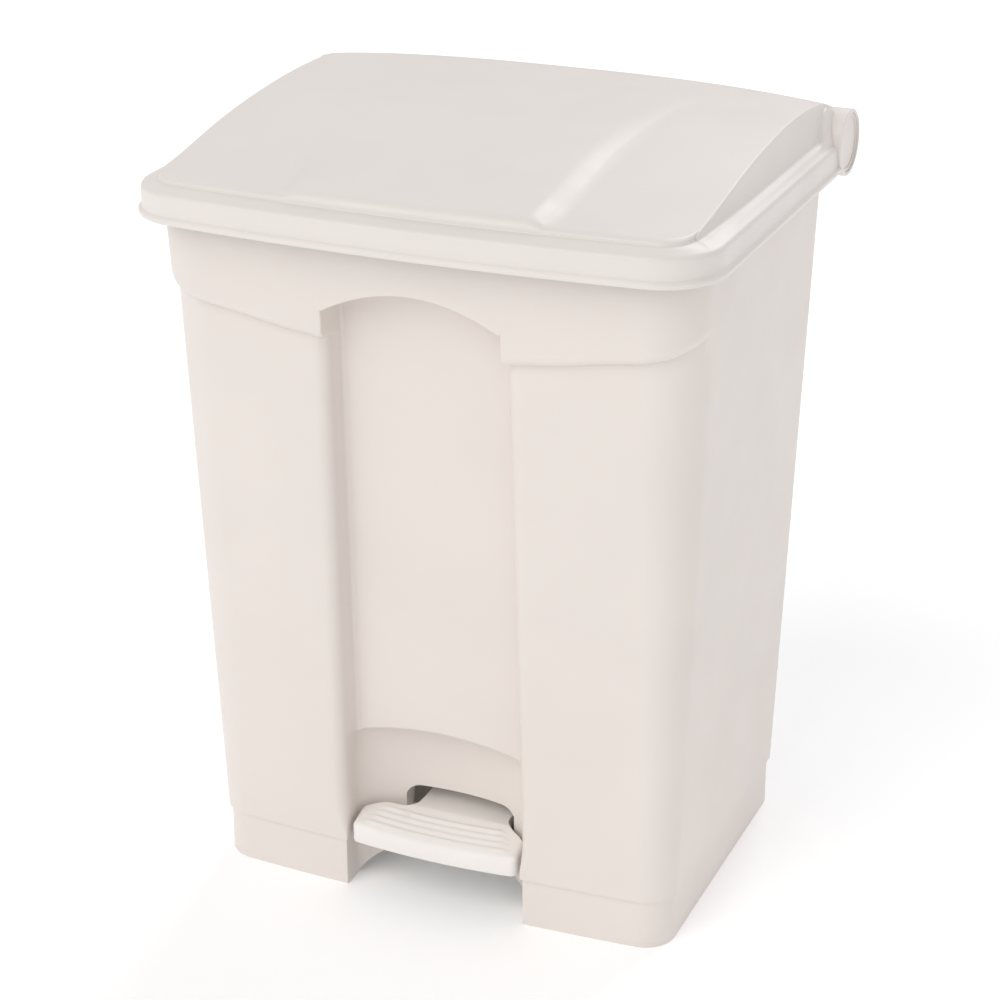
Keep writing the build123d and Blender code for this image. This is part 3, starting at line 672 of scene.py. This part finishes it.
def skirt_outline():
    """The skirt's plan as a dense open path, from the back on the left, round the front, to the right."""
    half, front, radius, bow = (SKIRT[key] for key in ("half", "front", "radius", "bow"))
    lean = math.atan(2 * bow / (half - radius))
    end_x = half - radius + radius * math.sin(lean)
    centre_y = front + radius * math.cos(lean)
    right = [(x, front - bow * (1 - (x / end_x) ** 2)) for x in np.linspace(0, end_x, 80)]
    right += [(half - radius + radius * math.sin(a), centre_y - radius * math.cos(a))
              for a in np.linspace(lean, math.pi / 2, 120)[1:]]
    right += [(half, y) for y in np.linspace(centre_y, SKIRT_BACK, 120)[1:]]
    left = [(-x, y) for x, y in reversed(right[1:])]
    return np.array(left + right)


def nearest_on(path, point):
    """The nearest place on a path of points, and the path's outward direction there."""
    start = path[:-1]
    along = path[1:] - start
    t = np.clip(((point - start) * along).sum(1) / (along * along).sum(1), 0, 1)
    foot = start + along * t[:, None]
    best = int(np.argmin(((foot - point) ** 2).sum(1)))
    way = along[best] / np.linalg.norm(along[best])
    return foot[best], np.array([way[1], -way[0]])


def placed(foot, out, profile):
    """Points of a profile of (offset, z), with the offset measured outwards from the skirt."""
    return [(foot[0] + out[0] * offset, foot[1] + out[1] * offset, z) for offset, z in profile]


def outer_profile(span, top, ledge, shoulder):
    """(offset, z) from the dome's edge, which is span inside the skirt, down to the bead's foot."""
    drop = max(top - ledge, 0.8)
    corner = min(DOME_EDGE_ROUND, 0.45 * drop)
    wall = span - corner - 0.17 * drop
    hollow = min(5.0, 0.4 * drop)
    profile = []
    for a in steps(0, math.pi / 2, 4):
        profile.append((-span + corner * math.sin(a), top - corner * (1 - math.cos(a))))
    for a in steps(0, math.pi / 2, 4):
        profile.append((-wall + hollow * (1 - math.cos(a)), ledge + hollow * (1 - math.sin(a))))
    for t in (0.3, 0.65):
        profile.append((mix(hollow - wall, -SHOULDER_ROUND, t), mix(ledge, shoulder + 0.3, t ** 1.6)))
    for a in steps(0, math.pi / 2, 6):
        profile.append((-SHOULDER_ROUND * (1 - math.sin(a)), shoulder - SHOULDER_ROUND * (1 - math.cos(a))))
    bead_top = RIM_LOW + BEAD_HEIGHT
    profile += [(0, mix(shoulder - SHOULDER_ROUND, bead_top, 0.5)), (0, bead_top + 1.0)]
    profile += [(0.25, bead_top + 0.2), (1.2, bead_top - 0.5), (BEAD - 0.7, bead_top - 1.3)]
    profile += [(BEAD, bead_top - 2.3), (BEAD, RIM_LOW + 1.2), (BEAD - 0.5, RIM_LOW + 0.35)]
    profile.append((BEAD - 1.3, RIM_LOW))
    return profile


def inner_profile(span, top, roof):
    """(offset, z) inside the wall, from the dome's underside to the skirt's lower edge."""
    return [(-span - LID_WALL, top - LID_WALL), (-span - LID_WALL + 1.5, roof + 0.8), (-span, roof),
            (-LID_WALL - 2.0, roof), (-LID_WALL - 0.6, roof - 0.6), (-LID_WALL, roof - 2.0),
            (-LID_WALL, RIM_LOW + 3.0), (-LID_WALL, RIM_LOW)]


def rear_rise(y):
    """How far the ledge and the shoulder sweep up towards the hinge roll."""
    ledge = 25.0 * smooth((y - 126.0) / 29.0) - 6.0 * smooth((y - 158.0) / 18.0)
    return ledge, 23.0 * smooth((y - 150.0) / 34.0)


def rim_skins(edge_points):
    """Outer and inner skins of the rim: a row for each profile point, a column for each edge point."""
    path = skirt_outline()
    outside, inside = [], []
    for point in edge_points:
        foot, out = nearest_on(path, point[:2])
        span = -(point[:2] - foot) @ out
        ledge_rise, shoulder_rise = rear_rise(point[1])
        ledge = min(LEDGE + ledge_rise, point[2] - 0.5)
        shoulder = SHOULDER + shoulder_rise
        roof = min(shoulder, ledge) - LID_WALL
        outside.append(placed(foot, out, outer_profile(span, point[2], ledge, shoulder)))
        inside.append(placed(foot, out, inner_profile(span, point[2], roof)))
    return np.array(outside).transpose(1, 0, 2), np.array(inside).transpose(1, 0, 2)


def dome_underside(top):
    """The dome's grid, lower by the wall and drawn in from its edges."""
    under = top.copy()
    under[:, :, 2] -= LID_WALL
    under = under * np.array([(DOME_WIDTH - LID_WALL) / DOME_WIDTH, 1.0, 1.0])
    under[:, :, 1] = mix(under[:, :, 1], DOME_BACK, 0.012)
    return under


def numbered(skins):
    """A table of vertex numbers for each skin, counted on from one skin to the next."""
    tables, used = [], 0
    for skin in skins:
        rows, columns = skin.shape[:2]
        tables.append(used + np.arange(rows * columns).reshape(rows, columns))
        used += rows * columns
    return tables


def build_lid():
    """The lid's one moulding: dome, skirt with its bead, and hinge roll."""
    top = dome_grid()
    rows, columns = top.shape[:2]
    border = [(i, 0) for i in range(rows - 1, 0, -1)] + [(0, j) for j in range(columns)]
    border += [(i, columns - 1) for i in range(1, rows)]
    outside, inside = rim_skins(np.array([top[place] for place in border]))
    under = dome_underside(top)
    inside[0] = [under[place] for place in border]

    skins = [top, outside, under, inside]
    top_ids, outer_ids, under_ids, inner_ids = numbered(skins)
    top_border = np.array([top_ids[place] for place in border])
    under_border = np.array([under_ids[place] for place in border])
    faces = grid_faces(top_ids) + grid_faces(under_ids)
    faces += grid_faces(np.vstack([top_border, outer_ids]))
    faces += grid_faces(np.vstack([under_border, inner_ids[1:]]))
    faces += grid_faces(np.stack([outer_ids[-1], inner_ids[-1]]))
    # back end: a wall behind the dome and the two ends of the rim
    faces += grid_faces(np.stack([top_ids[-1], under_ids[-1]]))
    for end in (0, -1):
        loop = [top_border[end]] + list(outer_ids[:, end])
        loop += list(inner_ids[:0:-1, end]) + [under_border[end]]
        faces.append(loop)
    lid = make_mesh("lid_cover", np.concatenate([skin.reshape(-1, 3) for skin in skins]), faces, LID_SHARP)
    add_roll(lid)
    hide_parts("lid_shell")
    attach(lid, "lid")
    dress(lid, "lid_plastic")
    return lid


def rod(name, radius, x0, x1, soft=0.0, count=96):
    """A rod along X round the hinge line, with ends softened by soft."""
    profile = [(x0, radius), (x1, radius)]
    if soft:
        profile = [(x0, radius - soft), (x0 + soft, radius), (x1 - soft, radius), (x1, radius - soft)]
    points = []
    for x, r in profile:
        for k in range(count):
            a = 2 * math.pi * k / count
            points.append((x, HINGE_Y + r * math.cos(a), HINGE_Z + r * math.sin(a)))
    ids = np.arange(len(points)).reshape(len(profile), count)
    faces = grid_faces(ids, True) + [list(ids[0]), list(ids[-1])]
    return make_mesh(name, points, faces)


def block(name, x_ends, y_ends, z_ends):
    """A box with its y and z ends measured from the hinge line."""
    points = [(x, HINGE_Y + y, HINGE_Z + z) for x in x_ends for y in y_ends for z in z_ends]
    faces = [(0, 1, 3, 2), (4, 6, 7, 5), (0, 4, 5, 1), (2, 3, 7, 6), (0, 2, 6, 4), (1, 5, 7, 3)]
    return make_mesh(name, points, faces)


def combine(obj, other, how):
    """Join or cut obj with other, which is used up."""
    step = obj.modifiers.new("step", "BOOLEAN")
    step.operation = how
    step.solver = "EXACT"
    step.object = other
    view = bpy.context.evaluated_depsgraph_get()
    mesh = bpy.data.meshes.new_from_object(obj.evaluated_get(view))
    obj.modifiers.clear()
    obj.data = mesh
    bpy.data.objects.remove(other, do_unlink=True)


def add_roll(lid):
    """The hinge roll behind the dome, open below, with shallow round recesses at its ends."""
    inner = ROLL_RADIUS - LID_WALL
    web = ROLL_WEB - LID_WALL
    combine(lid, rod("roll", ROLL_RADIUS, -ROLL_HALF, ROLL_HALF, ROLL_EDGE), "UNION")
    combine(lid, rod("roll_space", inner, -web, web), "DIFFERENCE")
    combine(lid, block("hollow", *HOLLOW), "DIFFERENCE")
    combine(lid, block("opening", (-web, web), OPENING_Y, BELOW_Z), "DIFFERENCE")
    for side in (-1, 1):
        recess = sorted((side * ROLL_WEB, side * (ROLL_HALF + 1)))
        combine(lid, rod("recess", inner, *recess), "DIFFERENCE")
        lever = (side * LEVER_X - LEVER_HALF, side * LEVER_X + LEVER_HALF)
        combine(lid, block("notch", lever, NOTCH_Y, BELOW_Z), "DIFFERENCE")
        hole = sorted((side * (web - 8), side * (ROLL_WEB + 1)))
        combine(lid, rod("hole", ROD_HOLE, *hole), "DIFFERENCE")
    lid.data.polygons.foreach_set("use_smooth", [True] * len(lid.data.polygons))
    lid.data.set_sharp_from_angle(angle=math.radians(LID_SHARP))


# ---------------------------------------------------------------- pedal tread

TREAD_HALF = 78.0
TREAD_FRONT = -147.0
TREAD_BOW = 5.0
TREAD_BACK = -113.0
TREAD_ROUND = 5.0
TREAD_CORNER = 5.5
TREAD_LOW = 64.0
TREAD_HIGH = 74.2
RECESS_MOUTH = -131.5
RECESS_DEPTH = 27.0
RECESS_GAP = 0.4
# the neck's left and right edges, and how far back it goes
NECK = (-30.5, 54.0)
NECK_BACK = -62.0
NECK_FILLET = 13.0
NECK_SLOPE = 0.04
LIP_LOW = 46.0
LIP_BACK = -128.0
LIP_BLEND = 7.0
LIP_INSIDE = 60.0
FRAME_TOP = 61.05
SHEET = 3.0
RIDGE = 1.3
RIDGE_COUNT = 4
RIDGE_START = 8.0
RIDGE_PITCH = 6.6
RIDGE_INSET = 9.0
RIDGE_SHORTER = 3.0
TREAD_SHARP = 40


def lip_y(x):
    """The bowed line of the lip, without its rounded ends."""
    return TREAD_FRONT - TREAD_BOW * (1 - (x / TREAD_HALF) ** 2)


def tread_front(x):
    """The lip's plan: a shallow bow with rounded ends."""
    past = np.clip((np.abs(x) - TREAD_HALF + TREAD_CORNER) / TREAD_CORNER, 0, 1)
    return lip_y(x) + TREAD_CORNER * (1 - np.sqrt(1 - past ** 2))


def wing_back(x):
    """Where the tread ends behind, clear of the recess's curved wall, with a hollow round into the neck."""
    across = x / (TREAD_HALF + RECESS_GAP)
    curve = RECESS_MOUTH + RECESS_DEPTH * np.sqrt(np.clip(1 - across ** 2, 0, 1))
    gap = np.maximum(np.maximum(NECK[0] - x, x - NECK[1]), 0)
    reach = np.clip(1 - gap / NECK_FILLET, 0, 1)
    return np.minimum(curve, TREAD_BACK) + NECK_FILLET * (1 - np.sqrt(1 - reach ** 2))


def ridges(x, y):
    """Height of the soft ridges along the lip, each a little shorter than the one before it."""
    along = (y - lip_y(x) - RIDGE_START) / RIDGE_PITCH
    near = np.abs(along - np.round(along))
    wave = np.cos(math.pi * np.clip(near / 0.5, 0, 1)) * 0.5 + 0.5
    is_ridged = (along > -0.5) & (along < RIDGE_COUNT - 0.5)
    number = np.round(np.clip(along, 0, RIDGE_COUNT - 1))
    reach = TREAD_HALF - RIDGE_INSET - RIDGE_SHORTER * number
    return RIDGE * np.where(is_ridged, wave, 0) * smooth((reach - np.abs(x)) / 5.0)


def tread_height(x, y, edge):
    """Height of the top: it rises to the neck, carries the ridges, and rolls over at its edges."""
    top = mix(TREAD_LOW, TREAD_HIGH, (y - TREAD_FRONT) / (TREAD_BACK - TREAD_FRONT))
    top = np.minimum(top, TREAD_HIGH + NECK_SLOPE * np.maximum(y - TREAD_BACK, 0))
    roll = np.clip(1 - edge / TREAD_ROUND, 0, 1)
    return top + ridges(x, y) - TREAD_ROUND * (1 - np.sqrt(1 - roll ** 2))


def tread_columns():
    """x of the tread's columns from left to right, closer at its corners and at both sides of the neck."""
    quarter = np.linspace(0, math.pi / 2, 10)
    fillet = np.linspace(0, math.pi / 2, 7)
    left = [-TREAD_HALF + TREAD_CORNER * (1 - math.cos(a)) for a in quarter]
    wing_left = steps(left[-1], NECK[0] - NECK_FILLET, 8)
    into_neck = [NECK[0] - NECK_FILLET * (1 - math.sin(a)) for a in fillet[1:]]
    neck = [NECK[0] + 0.02, NECK[0] + 1.2, NECK[0] + 3] + steps(NECK[0] + 3, NECK[1] - 3, 20)
    neck += [NECK[1] - 1.2, NECK[1] - 0.02]
    out_of_neck = [NECK[1] + NECK_FILLET * (1 - math.cos(a)) for a in fillet]
    right = [TREAD_HALF - TREAD_CORNER * (1 - math.sin(a)) for a in quarter]
    wing_right = steps(out_of_neck[-1], right[0], 4)[:-1]
    return np.array(left + wing_left + into_neck + neck + out_of_neck + wing_right + right)


def tread_grid():
    """The tread's top as rows from the lip to the neck's back; beside the neck the last rows coincide."""
    x = tread_columns()
    in_neck = (x > NECK[0]) & (x < NECK[1])
    front = tread_front(x)
    wing = np.maximum(wing_back(x), front + 0.5)
    back = np.where(in_neck, NECK_BACK, wing)
    side = np.minimum(TREAD_HALF - np.abs(x), 20)
    lip = [0, 0.006, 0.02, 0.045, 0.08, 0.12]
    shares = np.concatenate([lip, np.linspace(0.16, 0.94, 36), [0.97, 0.99, 1.0]])
    rows = []
    for t in shares:
        y = mix(front, wing, t)
        edge = np.minimum(np.minimum(y - front, side * 0.9), np.where(in_neck, 50, (wing - y) * 1.6))
        rows.append(np.column_stack([x, y, tread_height(x, y, edge)]))
    for t in steps(0, 1, 12):
        y = mix(wing, back, t)
        edge = np.where(in_neck, np.minimum(x - NECK[0], NECK[1] - x) * 2 + 2.5, 0)
        rows.append(np.column_stack([x, y, tread_height(x, y, edge)]))
    return np.array(rows)


def skirt_rings(rim):
    """Rings below the tread's rim: down the lip, under its edge, and up inside to the lever frame."""
    way = np.roll(rim[:, :2], -1, axis=0) - np.roll(rim[:, :2], 1, axis=0)
    out = np.column_stack([way[:, 1], -way[:, 0]])
    out /= np.maximum(np.linalg.norm(out, axis=1, keepdims=True), 1e-6)
    low = mix(LIP_LOW, FRAME_TOP, smooth((rim[:, 1] - LIP_BACK) / LIP_BLEND))
    profile = [(0, low + 1.2), (0.5, low + 0.3), (1.4, low), (SHEET, low + 0.4),
               (SHEET, np.maximum(low, LIP_INSIDE)), (SHEET + 0.6, FRAME_TOP)]
    rings = []
    for inset, z in profile:
        ring = rim.copy()
        ring[:, :2] -= out * inset
        ring[:, 2] = z
        rings.append(ring)
    return np.array(rings)


def build_tread():
    """The pedal's tread: a ribbed plate with a turned-down lip and a neck that goes through the slot."""
    top = tread_grid()
    rows, columns = top.shape[:2]
    border = [(0, j) for j in range(columns)] + [(i, columns - 1) for i in range(1, rows)]
    border += [(rows - 1, j) for j in range(columns - 2, -1, -1)] + [(i, 0) for i in range(rows - 2, 0, -1)]
    rings = skirt_rings(np.array([top[place] for place in border]))
    top_ids, ring_ids = numbered([top, rings])
    border_ids = np.array([top_ids[place] for place in border])
    faces = grid_faces(top_ids) + grid_faces(np.vstack([border_ids, ring_ids]), True)
    faces.append(list(ring_ids[-1]))
    points = np.concatenate([top.reshape(-1, 3), rings.reshape(-1, 3)])
    tread = make_mesh("tread", points, faces, TREAD_SHARP)
    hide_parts("pedal_tread")
    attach(tread, "pedal")
    dress(tread, "pedal_plastic")
    return tread


# ---------------------------------------------------------------- materials

def new_material(name):
    """A material with its node tree, its shader, and the object's own coordinates."""
    material = bpy.data.materials.new(name)
    material.use_nodes = True
    tree = material.node_tree
    shader = tree.nodes["Principled BSDF"]
    where = tree.nodes.new("ShaderNodeTexCoord").outputs["Object"]
    return material, tree, shader, where


def noise(tree, where, scale, detail=3.0, stretch=(1, 1, 1)):
    """A noise over the object's own coordinates; scale is grains per metre."""
    place = tree.nodes.new("ShaderNodeMapping")
    place.inputs["Scale"].default_value = stretch
    tree.links.new(where, place.inputs["Vector"])
    texture = tree.nodes.new("ShaderNodeTexNoise")
    texture.inputs["Scale"].default_value = scale
    texture.inputs["Detail"].default_value = detail
    tree.links.new(place.outputs["Vector"], texture.inputs["Vector"])
    return texture.outputs["Fac"]


def ramp(tree, value, socket, dark, light, low=0.35, high=0.65):
    """Feed a socket with a colour or grey that follows a noise between two ends."""
    node = tree.nodes.new("ShaderNodeValToRGB")
    first, last = node.color_ramp.elements
    first.position, last.position = low, high
    first.color, last.color = dark, light
    tree.links.new(value, node.inputs["Fac"])
    tree.links.new(node.outputs["Color"], socket)


def bump(tree, value, shader, distance, strength):
    """Feed the shader's normal with a relief that is distance metres deep."""
    node = tree.nodes.new("ShaderNodeBump")
    node.inputs["Distance"].default_value = distance
    node.inputs["Strength"].default_value = strength
    tree.links.new(value, node.inputs["Height"])
    tree.links.new(node.outputs["Normal"], shader.inputs["Normal"])


def grey(value):
    """A grey as a colour."""
    return (value, value, value, 1.0)


def tint(colour, factor):
    """A lighter or darker shade of a colour."""
    return (colour[0] * factor, colour[1] * factor, colour[2] * factor, 1.0)


def moulded_plastic(name, colour, rough, grain=2200.0, depth=0.00002, mottle=0.012):
    """Satin moulded plastic: a faintly cloudy colour, a patchy sheen and a fine surface grain."""
    material, tree, shader, where = new_material(name)
    cloud = noise(tree, where, 9.0)
    ramp(tree, cloud, shader.inputs["Base Color"], tint(colour, 1 - mottle), tint(colour, 1 + mottle))
    sheen = noise(tree, where, 26.0, 5.0)
    ramp(tree, sheen, shader.inputs["Roughness"], grey(rough - 0.04), grey(rough + 0.05))
    bump(tree, noise(tree, where, grain, 2.0), shader, depth, 0.5)
    shader.inputs["IOR"].default_value = 1.49
    return material


def metal(name, colour, rough, stretch=(1, 1, 1), depth=0.00001):
    """Steel with faint drawing marks along one direction."""
    material, tree, shader, where = new_material(name)
    mark = noise(tree, where, 900.0, 4.0, stretch)
    ramp(tree, mark, shader.inputs["Base Color"], tint(colour, 0.9), tint(colour, 1.05))
    sheen = noise(tree, where, 120.0, 4.0)
    ramp(tree, sheen, shader.inputs["Roughness"], grey(rough - 0.06), grey(rough + 0.08))
    bump(tree, mark, shader, depth, 0.5)
    shader.inputs["Metallic"].default_value = 1.0
    return material


MATERIALS = {
    "body_plastic": moulded_plastic("body_plastic", (0.76, 0.70, 0.655), 0.42),
    "lid_plastic": moulded_plastic("lid_plastic", (0.76, 0.715, 0.675), 0.40),
    # the tread's plastic is lighter than the body's: painted light, standing in for the light that falls on
    # the tread's top
    "pedal_plastic": moulded_plastic("pedal_plastic", (0.86, 0.825, 0.79), 0.44),
    "grey_nylon": moulded_plastic("grey_nylon", (0.42, 0.42, 0.415), 0.48, 1500.0, 0.00002, 0.03),
    "soft_rubber": moulded_plastic("soft_rubber", (0.035, 0.035, 0.037), 0.75, 1300.0, 0.00004, 0.06),
    "bright_steel": metal("bright_steel", (0.62, 0.62, 0.61), 0.26, (1, 1, 0.04)),
    "plated_steel": metal("plated_steel", (0.55, 0.55, 0.54), 0.36, (1, 0.05, 1)),
    "screw_steel": metal("screw_steel", (0.58, 0.58, 0.56), 0.30),
}


def dress(obj, slot):
    """Give a piece the one material of its slot."""
    obj.data.materials.clear()
    obj.data.materials.append(MATERIALS[slot])


def dress_nodes():
    """Give every piece that comes from the frame the material of its slot."""
    for part in frame["record"]["subparts"]:
        dress(frame["nodes"][part["node"]], part["material_slot"])


# ---------------------------------------------------------------- floor, light and camera

FLOOR_HALF = 20.0
FLOOR_GLOW = 0.14
WORLD_STRENGTH = 0.63
CAMERA_PLACE = (0.81898, -1.89087, 1.22638)
CAMERA_YAW = 23.379
CAMERA_PITCH = 23.581
CAMERA_ROLL = -0.214
CAMERA_SENSOR = 36.0
CAMERA_LENS = 92.811


def build_floor():
    """A plain pale floor at z = 0."""
    half = FLOOR_HALF
    corners = [(-half, -half, 0), (half, -half, 0), (half, half, 0), (-half, half, 0)]
    mesh = bpy.data.meshes.new("floor")
    mesh.from_pydata(corners, [], [(0, 1, 2, 3)])
    floor = bpy.data.objects.new("floor", mesh)
    bpy.context.scene.collection.objects.link(floor)
    material, tree, shader, where = new_material("floor_paper")
    ramp(tree, noise(tree, where, 3.0), shader.inputs["Base Color"], grey(0.975), grey(0.985))
    ramp(tree, noise(tree, where, 40.0), shader.inputs["Roughness"], grey(0.85), grey(0.95))
    shader.inputs["Emission Color"].default_value = (1.0, 1.0, 1.0, 1.0)
    shader.inputs["Emission Strength"].default_value = FLOOR_GLOW
    floor.data.materials.append(material)


def sun(name, towards, energy, spread, colour):
    """A distant soft light that shines from the given direction."""
    data = bpy.data.lights.new(name, "SUN")
    data.energy = energy
    data.angle = math.radians(spread)
    data.color = colour
    light = bpy.data.objects.new(name, data)
    bpy.context.scene.collection.objects.link(light)
    light.matrix_world = (-Vector(towards)).to_track_quat("-Z", "Y").to_matrix().to_4x4()


def build_lights():
    """An even pale sky, a broad key light from the front and a softer one from behind."""
    world = bpy.data.worlds.new("studio")
    world.use_nodes = True
    sky = world.node_tree.nodes["Background"]
    sky.inputs["Color"].default_value = (0.985, 0.985, 1.0, 1.0)
    sky.inputs["Strength"].default_value = WORLD_STRENGTH
    bpy.context.scene.world = world
    sun("key", (-0.10, -0.24, 0.22), 1.06, 50, (1.0, 0.985, 0.965))
    sun("back", (0.06, 0.75, 0.6), 0.85, 30, (0.99, 0.99, 1.0))


def build_camera():
    """A camera above and to the right of the front, in metres and degrees."""
    place = Vector(CAMERA_PLACE)
    yaw, pitch, roll = (math.radians(angle) for angle in (CAMERA_YAW, CAMERA_PITCH, CAMERA_ROLL))
    back = Vector((math.sin(yaw) * math.cos(pitch), -math.cos(yaw) * math.cos(pitch), math.sin(pitch)))
    right = Vector((math.cos(yaw), math.sin(yaw), 0))
    up = back.cross(right)
    across = math.cos(roll) * right + math.sin(roll) * up
    above = -math.sin(roll) * right + math.cos(roll) * up
    data = bpy.data.cameras.new("camera")
    data.sensor_width = CAMERA_SENSOR
    data.lens = CAMERA_LENS
    camera = bpy.data.objects.new("camera", data)
    bpy.context.scene.collection.objects.link(camera)
    camera.matrix_world = Matrix.Translation(place) @ Matrix((across, above, back)).transposed().to_4x4()
    bpy.context.scene.camera = camera


# ---------------------------------------------------------------- the scene

dress_nodes()
build_body()
build_lid()
build_tread()
build_floor()
build_lights()
build_camera()
bpy.context.scene.view_settings.view_transform = "Standard"
